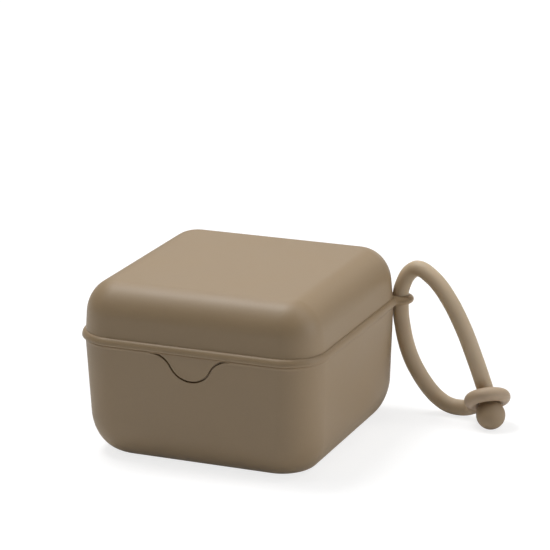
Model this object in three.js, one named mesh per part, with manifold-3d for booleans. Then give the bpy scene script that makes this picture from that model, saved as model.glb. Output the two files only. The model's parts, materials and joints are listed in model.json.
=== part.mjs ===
// A small square box with soft corners, a domed lid hinged at the back, a finger tab in front and a
// round silicone strap looped through an eyelet at the rear right corner. Millimetres, +Z up. The
// origin is the middle of the flat bottom, the front faces -Y and the strap hangs on the +X side.
import * as THREE from 'three';
import { mergeVertices } from 'three/addons/utils/BufferGeometryUtils.js';
import Module from 'manifold-3d';

const wasm = await Module();
wasm.setup();

// Overall form
const boxHalfWidth = 40; // at the parting
const boxHalfDepth = 39.6;
const boxHeight = 56.6;
const cornerRadius = 12;
const creaseHeight = 40.2;
const partingHeight = 37.2; // the middle of the joint between base and lid
const clearance = 0.3; // between pieces that touch or run in each other
const overrun = 4; // how far a cutting shape passes what it cuts

// Base
const baseWall = 2.4;
const baseFloor = 2.4;
const baseDraftShare = 0.037; // how much the wall leans inwards per unit of height
const baseFilletOut = 7.7;
const baseFilletUp = 13.1;
const baseCornerShrinkShare = 0.39; // of the inset, lost by the corner radius on the way down
const lipThickness = 1.2;
const lipRise = 3.6;
const lipChamfer = 0.3;

// Lid
const lidWall = 2.2;
const lidRoof = 2.2;
const lidStep = 0.2; // how far the lid's wall stands back at the crease above its bead
const lidDraftShare = 0.0784;
const lidFilletIn = 8.7;
const lidFilletDown = 10.1;
const lidDome = 0.5;
const lidLeastCorner = 1.6;
const beadRise = 2; // from the bead's widest line up to the crease
const beadUnder = 0.35; // from that line down to the strip
const beadReach = 1.08;
const beadStartAngle = -66; // degrees below the bead's widest line, where the strip begins
const stripReach = 0.42;
const stripEdge = 0.2;

// Finger tab and the recess that it closes into
const tabRadius = 7.4;
const tabCentreHeight = 36.6;
const tabFlareRadius = 7.4;

// Eyelet
const eyeletAngle = 34; // degrees from +X, seen from the middle of the corner's arc
const eyeletWall = 1.4;
const eyeletDrop = 0.6; // below the parting
const eyeletEdge = 0.9;
const eyeletFlare = 1.2;
const eyeletGap = 0.2; // between the cord and the corner, and round it in the hole

// Hinge
const hingeReach = 3.4; // from the back wall to the hinge axis
const barrelRadius = 2.2;
const barrelHalfLength = 7;
const earRadius = 2.5;
const earThickness = 2.6;
const earRootDrop = 7;
const earHullAngle = -35; // degrees, where the gusset leaves the ear's round end
const trunnionRadius = 1;

// Strap
const cordRadius = 2.6;
const strapRingMiddle = 5.25;
const strapRingSection = 2.25;
const strapRingTilt = 0.45; // extra distance to the ball that the ring's tilt needs
const ballRadius = 4.7;
const strapRingAxisShares = [-0.31, 0.5, 0.81];
const cordRoute = [
  [65.68, 35.87, 4.98],
  [63.9, 37.0, 3.75],
  [60.3, 37.7, 2.85],
  [56.2, 38.0, 3.15],
  [52.8, 37.95, 4.9],
  [50.0, 37.6, 7.6],
  [47.8, 36.95, 10.8],
  [45.8, 36.4, 14.3],
  [44.14, 36.05, 17.72],
  [42.74, 35.9, 21.44],
  [41.67, 35.85, 25.25],
  [40.91, 35.83, 29.17],
  [40.37, 35.88, 32.6],
  [40.27, 35.88, 35.6],
  [40.27, 35.88, 38.3],
  [40.3, 35.88, 40.6],
  [41.22, 35.92, 43.7],
  [42.65, 35.99, 46.58],
  [44.38, 35.79, 48.3],
  [46.25, 35.3, 49.2],
  [48.4, 34.82, 48.95],
  [50.45, 34.4, 47.88],
  [53.54, 33.9, 45.55],
  [58.2, 33.25, 39.8],
  [61.0, 33.2, 34.8],
  [63.5, 33.15, 29.6],
  [65.7, 33.15, 24.1],
  [67.75, 33.25, 18.6],
  [69.15, 33.6, 14.2],
  [70.1, 33.55, 11.5],
  [71.39, 31.97, 8.74],
];

// Finish
const shellColour = '#8f7d67';
const strapColour = '#8b7963';
const shellRoughness = 0.6;
const strapRoughness = 0.7;

// Smoothness, as counts
const cornerSteps = 8;
const filletSteps = 7;
const beadSteps = 6;
const domeSteps = 3;
const arcSteps = 14;
const roundSteps = 32;
const cordSteps = 52;
const cordSides = 12;
const ballRings = 16;

const landHeight = partingHeight - clearance / 2;
const lidFoot = partingHeight + clearance / 2;
const lipTop = landHeight + lipRise;
const rabbetTop = lipTop + clearance;
const lipInset = baseWall - lipThickness;
const skirtInset = lipInset - clearance;
const beadMiddle = creaseHeight - beadRise;
const roofEdge = boxHeight - lidDome;
const lidFilletDrop = Math.min(lidFilletDown, roofEdge - rabbetTop - clearance);
const eyeletFoot = partingHeight - eyeletDrop;
const eyeletTop = creaseHeight - clearance;
const eyeletHole = cordRadius + eyeletGap;
const eyeletRadius = eyeletHole + eyeletWall;
const eyeletReach = cornerRadius + cordRadius + eyeletGap;
const hingeY = boxHalfDepth + hingeReach;
const hingeZ = partingHeight;

const radians = THREE.MathUtils.degToRad;

// Solids and cuts

function solidOf(geometry) {
  const bare = geometry.clone();
  bare.deleteAttribute('normal');
  bare.deleteAttribute('uv');
  const merged = mergeVertices(bare);
  return new wasm.Manifold(new wasm.Mesh({
    numProp: 3,
    vertProperties: new Float32Array(merged.attributes.position.array),
    triVerts: new Uint32Array(merged.index.array),
  }));
}

function geometryOf(solid) {
  const mesh = solid.getMesh();
  const geometry = new THREE.BufferGeometry();
  geometry.setAttribute('position', new THREE.BufferAttribute(mesh.vertProperties, 3));
  geometry.setIndex(new THREE.BufferAttribute(mesh.triVerts, 1));
  geometry.computeVertexNormals();
  return geometry;
}

// A closed skin over level outlines with equal numbers of points, listed from the bottom up.
function loft(sections) {
  const count = sections[0].points.length;
  const position = [];
  const index = [];
  for (const { points, z } of sections) {
    for (const p of points) position.push(p.x, p.y, z);
  }
  position.push(0, 0, sections[0].z, 0, 0, sections.at(-1).z);
  const foot = sections.length * count;
  const last = foot - count;
  for (let j = 0; j < count; j++) {
    const k = (j + 1) % count;
    for (let i = 0; i < last; i += count) {
      index.push(i + j, i + k, i + count + k, i + j, i + count + k, i + count + j);
    }
    index.push(foot, k, j, foot + 1, last + j, last + k);
  }
  const geometry = new THREE.BufferGeometry();
  geometry.setAttribute('position', new THREE.Float32BufferAttribute(position, 3));
  geometry.setIndex(index);
  return geometry;
}

function roundedSquare(halfX, halfY, radius) {
  const points = [];
  const quarters = [[1, 1], [-1, 1], [-1, -1], [1, -1]];
  quarters.forEach(([signX, signY], quarter) => {
    for (let i = 0; i <= cornerSteps; i++) {
      const angle = (quarter + i / cornerSteps) * Math.PI / 2;
      points.push(new THREE.Vector2(
        signX * (halfX - radius) + radius * Math.cos(angle),
        signY * (halfY - radius) + radius * Math.sin(angle),
      ));
    }
  });
  return points;
}

// The box's outline at one height, set in by inset from the parting's outline.
function boxSection(z, inset, radius) {
  return { points: roundedSquare(boxHalfWidth - inset, boxHalfDepth - inset, radius), z };
}

const baseLean = (z) => baseDraftShare * (partingHeight - z);

// The base's own surface, or one parallel to it at a depth inside.
function baseSection(z, curl, depth) {
  const inset = baseLean(z) + curl;
  return boxSection(z, inset + depth, cornerRadius - baseCornerShrinkShare * inset - depth);
}

function baseSections(foot, depth, top) {
  const sections = [];
  const out = baseFilletOut - depth;
  const up = baseFilletUp - foot;
  for (let i = 0; i <= filletSteps; i++) {
    const angle = (i / filletSteps) * Math.PI / 2;
    sections.push(baseSection(foot + up * (1 - Math.cos(angle)), out * (1 - Math.sin(angle)), depth));
  }
  sections.push(baseSection(top, 0, depth));
  return sections;
}

// Above the land the lip and the lid's skirt stand upright, parallel to the base's edge there.
function rimSection(z, depth) {
  const inset = baseLean(landHeight) + depth;
  return boxSection(z, inset, cornerRadius - inset);
}

const wallTo = (depth, top) => solidOf(loft(baseSections(0, depth, top)));

function lidSection(z, inset) {
  return boxSection(z, inset, Math.max(cornerRadius - inset, lidLeastCorner));
}

const lidLean = (z) => lidStep + lidDraftShare * (z - creaseHeight);

function lidCrown(top, depth) {
  const sections = [];
  const inwards = lidFilletIn - depth;
  const down = lidFilletDrop - depth;
  for (let i = 0; i <= filletSteps; i++) {
    const angle = (i / filletSteps) * Math.PI / 2;
    const z = top - down * (1 - Math.sin(angle));
    sections.push(lidSection(z, lidLean(z) + inwards * (1 - Math.cos(angle)) + depth));
  }
  return sections;
}

// A shape drawn in x and z, pushed through the front wall.
function throughFront(shape) {
  const geometry = new THREE.ExtrudeGeometry(shape, { depth: 2 * overrun, bevelEnabled: false });
  geometry.rotateX(Math.PI / 2);
  geometry.translate(0, overrun - boxHalfDepth, 0);
  return solidOf(geometry);
}

// The tab's bell-shaped outline: a round bottom whose sides flare out into the parting.
function tabOutline(offset, top) {
  const flareHeight = partingHeight - tabFlareRadius;
  const rise = flareHeight - tabCentreHeight;
  const flareX = Math.sqrt((tabRadius + tabFlareRadius) ** 2 - rise ** 2);
  const lean = Math.atan2(rise, flareX);
  const round = tabRadius + offset;
  const flare = tabFlareRadius - offset;
  const shape = new THREE.Shape();
  shape.moveTo(-flareX, top);
  shape.lineTo(-flareX, flareHeight + flare);
  shape.absarc(-flareX, flareHeight, flare, Math.PI / 2, -lean, true);
  shape.absarc(0, tabCentreHeight, round, Math.PI - lean, lean + 2 * Math.PI, false);
  shape.absarc(flareX, flareHeight, flare, Math.PI + lean, Math.PI / 2, true);
  shape.lineTo(flareX, top);
  shape.closePath();
  return new THREE.Shape(shape.getPoints(arcSteps));
}

// Places a shape that is drawn outwards from the middle of the rear right corner's arc.
function atCorner(geometry) {
  geometry.rotateZ(radians(eyeletAngle));
  geometry.translate(boxHalfWidth - cornerRadius, boxHalfDepth - cornerRadius, 0);
  return solidOf(geometry);
}

function standing(shape, foot, top) {
  const geometry = new THREE.ExtrudeGeometry(shape, { depth: top - foot, bevelEnabled: false });
  geometry.translate(0, 0, foot);
  return geometry;
}

function cylinderAt(radius, x, foot, top) {
  const geometry = new THREE.CylinderGeometry(radius, radius, top - foot, roundSteps);
  geometry.rotateX(Math.PI / 2);
  geometry.translate(x, 0, (foot + top) / 2);
  return atCorner(geometry);
}

// The eyelet's root, from inside the lip to the middle of the ring, and a little wider at the wall.
function eyeletRoot(extra, foot, top) {
  const inner = cornerRadius - baseWall - extra;
  const wide = eyeletRadius + extra;
  const shape = new THREE.Shape([
    new THREE.Vector2(inner, -wide - eyeletFlare),
    new THREE.Vector2(cornerRadius, -wide - eyeletFlare),
    new THREE.Vector2(eyeletReach, -wide),
    new THREE.Vector2(eyeletReach, wide),
    new THREE.Vector2(cornerRadius, wide + eyeletFlare),
    new THREE.Vector2(inner, wide + eyeletFlare),
  ]);
  return atCorner(standing(shape, foot, top));
}

function eyeletRing() {
  const profile = [
    new THREE.Vector2(0, eyeletFoot),
    new THREE.Vector2(eyeletRadius - eyeletEdge, eyeletFoot),
    new THREE.Vector2(eyeletRadius, eyeletFoot + eyeletEdge),
    new THREE.Vector2(eyeletRadius, eyeletTop - eyeletEdge),
    new THREE.Vector2(eyeletRadius - eyeletEdge, eyeletTop),
    new THREE.Vector2(0, eyeletTop),
  ];
  const geometry = new THREE.LatheGeometry(profile, roundSteps);
  geometry.rotateX(Math.PI / 2);
  geometry.translate(eyeletReach, 0, 0);
  return atCorner(geometry);
}

// A shape drawn in y and z, with its thickness along x from near to far.
function across(shape, near, far) {
  const geometry = new THREE.ExtrudeGeometry(shape, { depth: far - near, bevelEnabled: false });
  geometry.applyMatrix4(new THREE.Matrix4().makeBasis(
    new THREE.Vector3(0, 1, 0), new THREE.Vector3(0, 0, 1), new THREE.Vector3(1, 0, 0),
  ));
  geometry.translate(near, 0, 0);
  return solidOf(geometry);
}

function onHinge(radius, near, far) {
  const geometry = new THREE.CylinderGeometry(radius, radius, far - near, roundSteps);
  geometry.rotateZ(Math.PI / 2);
  geometry.translate((near + far) / 2, hingeY, hingeZ);
  return solidOf(geometry);
}

const earNear = barrelHalfLength + clearance;
const earFar = earNear + earThickness;

// One ear per side: a round end about the hinge axis on a gusset that runs down the back wall.
function hingeEar(side) {
  const root = boxHalfDepth - baseWall / 2 - baseLean(landHeight);
  const angle = radians(earHullAngle);
  const gusset = new THREE.Shape([
    new THREE.Vector2(root, landHeight),
    new THREE.Vector2(root, landHeight - earRootDrop),
    new THREE.Vector2(hingeY + earRadius * Math.cos(angle), hingeZ + earRadius * Math.sin(angle)),
    new THREE.Vector2(hingeY, landHeight),
  ]);
  const near = side > 0 ? earNear : -earFar;
  const far = side > 0 ? earFar : -earNear;
  return across(gusset, near, far)
    .add(onHinge(earRadius, near, far))
    .subtract(onHinge(trunnionRadius + clearance, near - overrun, far + overrun));
}

// Pieces

function baseTub() {
  const outer = baseSections(0, 0, landHeight);
  outer.push(rimSection(landHeight, lipInset));
  outer.push(rimSection(lipTop - lipChamfer, lipInset));
  outer.push(rimSection(lipTop, lipInset + lipChamfer));
  const inner = baseSections(baseFloor, baseWall, landHeight);
  inner.push(rimSection(lipTop + overrun, baseWall));
  const recess = throughFront(tabOutline(clearance / 2, lipTop + overrun))
    .subtract(wallTo(lipInset, lipTop + 2 * overrun));
  return solidOf(loft(outer))
    .add(eyeletRoot(0, eyeletFoot, eyeletTop))
    .add(eyeletRing())
    .subtract(cylinderAt(eyeletHole, eyeletReach, eyeletFoot - overrun, eyeletTop + overrun))
    .add(hingeEar(1))
    .add(hingeEar(-1))
    .subtract(solidOf(loft(inner)))
    .subtract(recess);
}

function lid() {
  const outer = [
    lidSection(lidFoot, baseLean(landHeight)),
    lidSection(lidFoot + stripEdge, -stripReach),
  ];
  for (let i = 0; i < beadSteps; i++) {
    const angle = radians(beadStartAngle) * (1 - i / beadSteps) + (i / beadSteps) * Math.PI / 2;
    const z = beadMiddle + (angle < 0 ? beadUnder : beadRise) * Math.sin(angle);
    outer.push(lidSection(z, -beadReach * Math.cos(angle)));
  }
  outer.push(lidSection(creaseHeight, lidStep));
  outer.push(...lidCrown(roofEdge, 0));
  const rim = outer.at(-1).points;
  for (let i = 1; i <= domeSteps; i++) {
    const left = 1 - i / (domeSteps + 1);
    const points = rim.map((p) => p.clone().multiplyScalar(left));
    outer.push({ points, z: boxHeight - lidDome * left ** 2 });
  }
  const skirt = [rimSection(lidFoot - overrun, skirtInset), rimSection(rabbetTop, skirtInset)];
  const cavity = [lidSection(rabbetTop - clearance, lidStep + lidWall), ...lidCrown(roofEdge - lidRoof, lidWall)];
  const tabTop = lidFoot + stripEdge + beadUnder;
  const tab = throughFront(tabOutline(-clearance / 2, tabTop))
    .intersect(wallTo(0, tabTop))
    .subtract(wallTo(skirtInset, tabTop + overrun));
  const leaf = new THREE.Shape([
    new THREE.Vector2(boxHalfDepth - skirtInset / 2, lidFoot),
    new THREE.Vector2(hingeY, lidFoot),
    new THREE.Vector2(hingeY, hingeZ + barrelRadius),
    new THREE.Vector2(boxHalfDepth - skirtInset / 2, hingeZ + barrelRadius),
  ]);
  const room = earRadius + clearance;
  const trunnionFar = earFar - clearance;
  return solidOf(loft(outer))
    .subtract(solidOf(loft(skirt)))
    .subtract(solidOf(loft(cavity)))
    .subtract(eyeletRoot(clearance, lidFoot - overrun, creaseHeight))
    .subtract(cylinderAt(eyeletRadius + clearance, eyeletReach, lidFoot - overrun, creaseHeight))
    .subtract(onHinge(room, barrelHalfLength, earFar + clearance))
    .subtract(onHinge(room, -earFar - clearance, -barrelHalfLength))
    .add(tab)
    .add(across(leaf, -barrelHalfLength, barrelHalfLength))
    .add(onHinge(barrelRadius, -barrelHalfLength, barrelHalfLength))
    .add(onHinge(trunnionRadius, -trunnionFar, trunnionFar));
}

const cordPoints = cordRoute.map((p) => new THREE.Vector3(...p));
const cordPath = new THREE.CatmullRomCurve3(cordPoints, false, 'centripetal');
const cordEnd = cordPath.getPoint(1);
const cordEndWay = cordPath.getTangent(1);
const ballCentre = cordEnd.clone().addScaledVector(cordEndWay, ballRadius + clearance);
const ringSeat = strapRingTilt
  + Math.sqrt((ballRadius + clearance + strapRingSection) ** 2 - strapRingMiddle ** 2);
const ringCentre = ballCentre.clone().addScaledVector(cordEndWay, -ringSeat);

function strapCord() {
  const section = new THREE.Shape();
  for (let i = 0; i < cordSides; i++) {
    const angle = (i / cordSides) * 2 * Math.PI;
    const x = cordRadius * Math.cos(angle);
    const y = cordRadius * Math.sin(angle);
    if (i) section.lineTo(x, y);
    else section.moveTo(x, y);
  }
  return new THREE.ExtrudeGeometry(section, { steps: cordSteps, extrudePath: cordPath, bevelEnabled: false });
}

function strapRing() {
  const profile = [];
  for (let i = 0; i <= arcSteps; i++) {
    const angle = (i / arcSteps) * 2 * Math.PI;
    profile.push(new THREE.Vector2(
      strapRingMiddle + strapRingSection * Math.cos(angle), strapRingSection * Math.sin(angle),
    ));
  }
  return new THREE.LatheGeometry(profile, roundSteps);
}

function node(name, geometry, colour, roughness) {
  const material = new THREE.MeshStandardMaterial({ color: colour, roughness, metalness: 0 });
  const mesh = new THREE.Mesh(geometry, material);
  mesh.name = name;
  return mesh;
}

const box = new THREE.Group();
box.add(node('base_tub', geometryOf(baseTub()), shellColour, shellRoughness));
box.add(node('lid', geometryOf(lid()), shellColour, shellRoughness));

const strap = new THREE.Group();
strap.add(node('strap_cord', strapCord(), strapColour, strapRoughness));

const ring = node('strap_ring', strapRing(), strapColour, strapRoughness);
ring.position.copy(ringCentre);
ring.quaternion.setFromUnitVectors(
  new THREE.Vector3(0, 1, 0), new THREE.Vector3(...strapRingAxisShares).normalize(),
);
strap.add(ring);

const ballForm = new THREE.SphereGeometry(ballRadius, roundSteps, ballRings);
const ball = node('strap_ball', ballForm, strapColour, strapRoughness);
ball.position.copy(ballCentre);
strap.add(ball);

const pacifierBox = new THREE.Group();
pacifierBox.add(box, strap);
export default pacifierBox;
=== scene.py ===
"""Builds a hinged pacifier box with its silicone strap, and the studio that it stands in."""

import json
import math

import bmesh
import bpy
from bpy.props import FloatProperty, FloatVectorProperty, PointerProperty
from mathutils import Matrix, Vector

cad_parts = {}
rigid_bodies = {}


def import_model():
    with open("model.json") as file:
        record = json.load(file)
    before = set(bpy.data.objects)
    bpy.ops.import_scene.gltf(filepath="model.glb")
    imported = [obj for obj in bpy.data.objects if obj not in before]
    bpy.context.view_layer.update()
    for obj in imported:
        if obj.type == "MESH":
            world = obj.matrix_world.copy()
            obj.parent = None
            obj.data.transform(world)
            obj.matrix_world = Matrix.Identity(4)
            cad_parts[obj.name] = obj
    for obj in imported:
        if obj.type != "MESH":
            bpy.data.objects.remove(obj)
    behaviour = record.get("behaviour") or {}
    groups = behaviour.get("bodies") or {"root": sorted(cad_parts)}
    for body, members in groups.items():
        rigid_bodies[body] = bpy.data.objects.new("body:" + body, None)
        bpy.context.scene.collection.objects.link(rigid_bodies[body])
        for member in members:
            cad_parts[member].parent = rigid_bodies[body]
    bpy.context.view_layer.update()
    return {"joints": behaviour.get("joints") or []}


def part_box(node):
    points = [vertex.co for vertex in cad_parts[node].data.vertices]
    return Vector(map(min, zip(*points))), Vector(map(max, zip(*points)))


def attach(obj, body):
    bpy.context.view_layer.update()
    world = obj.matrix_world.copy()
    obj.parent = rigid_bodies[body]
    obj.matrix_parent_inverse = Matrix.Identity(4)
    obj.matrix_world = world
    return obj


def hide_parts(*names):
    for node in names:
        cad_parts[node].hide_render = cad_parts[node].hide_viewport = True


bl_info = {
    "name": "Pacifier Box",
    "version": (1, 0, 0),
    "blender": (4, 5, 0),
    "location": "3D View > Sidebar > Pacifier Box",
    "description": "Builds a hinged pacifier box with a silicone strap, and a studio stage",
    "category": "Object",
}

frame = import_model()

MM = 0.001
HINGE = next(joint for joint in frame["joints"] if joint["name"] == "lid_hinge")
HINGE_POINT = Vector(HINGE["pos_m"])
QUARTER = math.pi / 2
TURN = 2 * math.pi
UP = (0.0, 0.0, 1.0)

# Camera: its place in metres, and the directions of its right-hand side and its top
CAMERA_PLACE = (0.329624, -0.734505, 0.299071)
CAMERA_RIGHT = (0.91928, 0.39337, -0.01382)
CAMERA_UP = (-0.10329, 0.27497, 0.95589)
CAMERA_SENSOR = 36.0
CAMERA_NEAR = 0.01
CAMERA_FAR = 50.0

# The strap's route, from the ring round to the ball, in millimetres
STRAP_ROUTE = (
    (65.68, 35.87, 4.98), (63.9, 37.0, 3.75), (60.3, 37.7, 2.85), (56.2, 38.0, 3.15),
    (52.8, 37.95, 4.9), (50.0, 37.6, 7.6), (47.8, 36.95, 10.8), (45.8, 36.4, 14.3),
    (44.14, 36.05, 17.72), (42.74, 35.9, 21.44), (41.67, 35.85, 25.25), (40.91, 35.83, 29.17),
    (40.37, 35.88, 32.6), (40.27, 35.88, 35.6), (40.27, 35.88, 38.3), (40.3, 35.88, 40.6),
    (41.22, 35.92, 43.7), (42.65, 35.99, 46.58), (44.38, 35.79, 48.3), (46.25, 35.3, 49.2),
    (48.4, 34.82, 48.95), (50.45, 34.4, 47.88), (53.54, 33.9, 45.55), (58.2, 33.25, 39.8),
    (61.0, 33.2, 34.8), (63.5, 33.15, 29.6), (65.7, 33.15, 24.1), (67.75, 33.25, 18.6),
    (69.15, 33.6, 14.2), (70.1, 33.55, 11.5), (71.39, 31.97, 8.74),
)

# Counts of steps along the rounded forms
CORNER_STEPS = 20
RUN_CUTS = 6
FILLET_STEPS = 18
EDGE_STEPS = 4
BEAD_STEPS = 14
DOME_STEPS = 12
ARC_STEPS = 16
ROUND_STEPS = 64
SECTION_STEPS = 32
RING_STEPS = 72
BALL_STEPS = 36
NECK_STEPS = 8
EYELET_LEVELS = 22
EYELET_ROOT_STEPS = 4
EYELET_FILLET_STEPS = 10
EYELET_RING_STEPS = 40
NOTCH_STEPS = 24
CORD_SIDE_CUTS = 7
CORD_RUN_CUTS = 10

# Small forms of the walls
BRIDGE_GAP = 10 * MM
CORNER_TAPER = 0.39
LEAST_CORNER = 1.6 * MM
WALL_MIDDLE = 25 * MM
WALL_START = 1 * MM
LIP_FOOT = 36 * MM
LIP_EDGE = 0.4 * MM
LAND_EDGE = 0.02 * MM
FLARE_RISE = 0.9 * MM
LID_EDGE = 0.15 * MM
FOOT_LIFT = 1.3
LIP_ROOM = 0.3 * MM
LID_WALL_STARTS = (0.3 * MM, 2.8 * MM)
CROWN_END = math.radians(88.3)
DOME_SQUARENESS = 0.94

# Small forms of the finger tab and its recess
TAB_EDGE = 0.2 * MM
TAB_EDGE_MIDDLE = 0.3
TAB_BACK = 0.15 * MM
TAB_TOP = 0.2 * MM
RECESS_FRONT = -5 * MM
RECESS_TOP = 1 * MM

# The eyelet's direction, its root in the band and the gap that the lid leaves for that root
EYELET_TURN = math.radians(34)
EYELET_FULLNESS = 2.3
EYELET_CAP = 0.08 * MM
EYELET_INSIDE = 10.2 * MM
EYELET_MIDDLE = 38 * MM
HOLE_DEPTH = 12 * MM
ROOT_HALF = 5.6 * MM
ROOT_REACH = 13.45 * MM
ROOT_PLAY = 0.1 * MM
NOTCH_NEAR = 9.6 * MM
NOTCH_FAR = 16 * MM
NOTCH_FOOT = 34 * MM
NOTCH_TOP = 0.08 * MM

# Web under a hinge ear
WEB_DEPTH = 7 * MM
WEB_SINK = 0.05 * MM
WEB_TOUCH = math.radians(-35)

# The cord grows a little thicker between two of its route's points
CORD_SWELL = 0.04
CORD_SWELL_START = 20
CORD_SWELL_RUN = 4

# Root of the cord in the ring: share of the way from the ring's middle line, radius in millimetres
ROOT_SECTIONS = (
    (-0.25, 1.4), (-0.12, 2.0), (0.05, 2.3), (0.45, 2.42), (0.8, 2.56), (1.0, 2.63), (1.35, 2.63),
)
ROOT_PAST_END = 3 * MM

# The strap's ring and ball
RING_AXIS = (-0.31, 0.5, 0.81)
RING_GRID = 0.16 * MM
RING_SOFTNESS = 0.5
RING_SOFTENINGS = 12
NECK_SINK = 0.6 * MM
SAME_PLACE = 1e-7

# Surfaces: real edges, the pull of the large faces, the grain's depth and the clouding's strength
SHARP_ANGLE = math.radians(38)
LARGE_FACES = 100
GRAIN_DEPTH = 0.03 * MM
PLASTIC_CLOUDING = 0.07
SILICONE_CLOUDING = 0.06

# Whites of the floor and the backdrop
PAPER = 0.8
PAPER_SEEN = 0.35
FLOOR_GLOW = 0.78
FLOOR_GLOSS = 0.3
BACKDROP_EDGE = 0.3
BACKDROP_GLOSS = 0.4
LAMP_TARGET = (0.0, 0.0, 0.03)

# Soft round lamps: name, azimuth from the right-hand side, elevation, share of the power
LAMPS = (
    ("lamp_over_left", 173, 72, 1.26),
    ("lamp_left", 213, 52, 0.25),
    ("lamp_over", 0, 90, 0.13),
    ("lamp_over_right", 53, 72, 0.16),
    ("lamp_over_back", 113, 72, 0.08),
    ("lamp_right", 13, 52, 0.35),
    ("lamp_low_right", 10, 14, 0.42),
    ("lamp_front_right", 344, 14, 0.155),
    ("lamp_back_left", 133, 52, 0.18),
    ("lamp_back", 113, 33, 0.125),
    ("lamp_back_right", 87, 14, 0.105),
)


def length(name, description, millimetres):
    """A size that a user can change."""
    return FloatProperty(name=name, description=description, default=millimetres * MM,
                         min=0.0, precision=5, unit="LENGTH")


class BoxSizes(bpy.types.PropertyGroup):
    """Sizes that the base and the lid share."""
    half_width: length("Half width", "From the middle to the side wall at the parting", 40.0)
    half_depth: length("Half depth", "From the middle to the front wall at the parting", 39.6)
    height: length("Height", "From the floor to the top of the dome", 56.55)
    corner: length("Corner", "Radius of the upright corners at the parting", 12.0)
    crease: length("Crease", "Height of the crease above the bead", 40.2)
    parting: length("Parting", "Height of the joint between the base and the lid", 37.2)
    land: length("Land", "Height of the edge that the lid closes on", 37.18)
    foot: length("Lid foot", "Height of the lid's lower edge", 37.19)
    wall: length("Wall", "Thickness of the base's wall", 2.4)
    lip_depth: length("Lip depth", "From the base's surface in to its lip", 1.2)
    lip_top: length("Lip top", "Height of the upright lip", 40.65)
    skirt_depth: length("Skirt depth", "From the base's surface in to the lid's skirt", 0.9)
    base_draft: FloatProperty(name="Base draft", description="How far the wall leans in per height",
                              default=0.037)
    lid_draft: FloatProperty(name="Lid draft", description="How far the lid leans in per height",
                             default=0.0784)
    lid_step: length("Lid step", "How far the lid's wall stands back at the crease", 0.2)
    foot_out: length("Foot radius out", "Width of the rounded foot", 7.7)
    foot_up: length("Foot radius up", "Height of the rounded foot", 13.1)
    roof_in: length("Roof radius in", "Width of the lid's rounded upper edge", 8.7)
    roof_down: length("Roof radius down", "Height of the lid's rounded upper edge", 10.1)
    lid_wall: length("Lid wall", "Thickness of the lid", 2.2)
    dome: length("Dome", "Rise of the roof towards its middle", 0.5)


class BandSizes(bpy.types.PropertyGroup):
    """Sizes of the bead, the strip, the finger tab and the eyelet."""
    bead_reach: length("Bead reach", "How far the bead stands out", 1.05)
    bead_rise: length("Bead rise", "From the bead's widest line up to the crease", 2.0)
    bead_under: length("Bead underside", "From the bead's widest line down to the hollow", 0.33)
    hollow_reach: length("Hollow reach", "How far the hollow below the bead stands out", 0.08)
    rib_reach: length("Rib reach", "How far the fine rib at the lid's foot stands out", 0.16)
    rib_under: length("Rib underside", "From the lid's foot up to the rib's widest line", 0.02)
    rib_rise: length("Rib rise", "From that line up to the hollow", 0.35)
    rim_flare: length("Rim flare", "How far the base's rim flares out to meet the rib", 0.14)
    seam: length("Seam", "Width of the slit round the finger tab", 0.46)
    tab_radius: length("Tab radius", "Radius of the tab's round bottom", 7.4)
    tab_centre: length("Tab centre", "Height of the middle of that round", 36.6)
    tab_flare: length("Tab flare", "Radius of the flare on each side of the tab", 7.4)
    tab_shoulder: length("Tab shoulder", "Height that the two flares rise to", 37.42)
    eyelet_reach: length("Eyelet reach", "From the corner's centre to the eyelet's", 14.8)
    eyelet_radius: length("Eyelet radius", "Outer radius of the eyelet", 4.2)
    eyelet_hole: length("Eyelet hole", "Radius of the eyelet's hole", 2.8)
    eyelet_foot: length("Eyelet foot", "Height of the eyelet's underside", 36.55)
    eyelet_top: length("Eyelet top", "Height of the eyelet's upper side", 39.95)
    eyelet_fillet: length("Eyelet fillet", "Radius where the eyelet flows into the band", 2.1)


class HingeSizes(bpy.types.PropertyGroup):
    """Sizes of the base's two ears and of the lid's barrel between them."""
    ear: length("Ear", "Radius of an ear's round end", 2.5)
    ear_near: length("Ear inside", "From the middle to an ear's inner face", 7.3)
    ear_far: length("Ear outside", "From the middle to an ear's outer face", 9.9)
    hole: length("Hole", "Radius of the hole in an ear", 1.2)
    barrel: length("Barrel", "Radius of the lid's barrel", 2.2)
    barrel_end: length("Barrel end", "From the middle to an end of the barrel", 7.0)
    pin: length("Pin", "Radius of the pin that turns in the ears", 1.0)
    pin_end: length("Pin end", "From the middle to an end of the pin", 9.6)
    room: length("Room", "Radius of the room that the lid leaves for an ear", 2.8)
    room_end: length("Room end", "From the middle to the far side of that room", 10.2)
    leaf_near: length("Leaf inside", "From the middle back to the leaf's inner face", 39.0)
    leaf_far: length("Leaf outside", "From the middle back to the leaf's outer face", 43.0)
    leaf_top: length("Leaf top", "Height of the leaf that carries the barrel", 39.4)


class StrapSizes(bpy.types.PropertyGroup):
    """Sizes of the silicone strap."""
    cord: length("Cord", "Diameter of the cord", 5.2)
    ring: length("Ring", "Radius of the ring's middle line", 5.25)
    ring_section: length("Ring section", "Radius of the ring's own section", 2.25)
    ball: length("Ball", "Radius of the ball", 4.7)
    neck: length("Neck", "Radius of the ball's neck", 2.9)
    blend: length("Neck blend", "Radius where the neck flows into the ball", 2.4)


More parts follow.
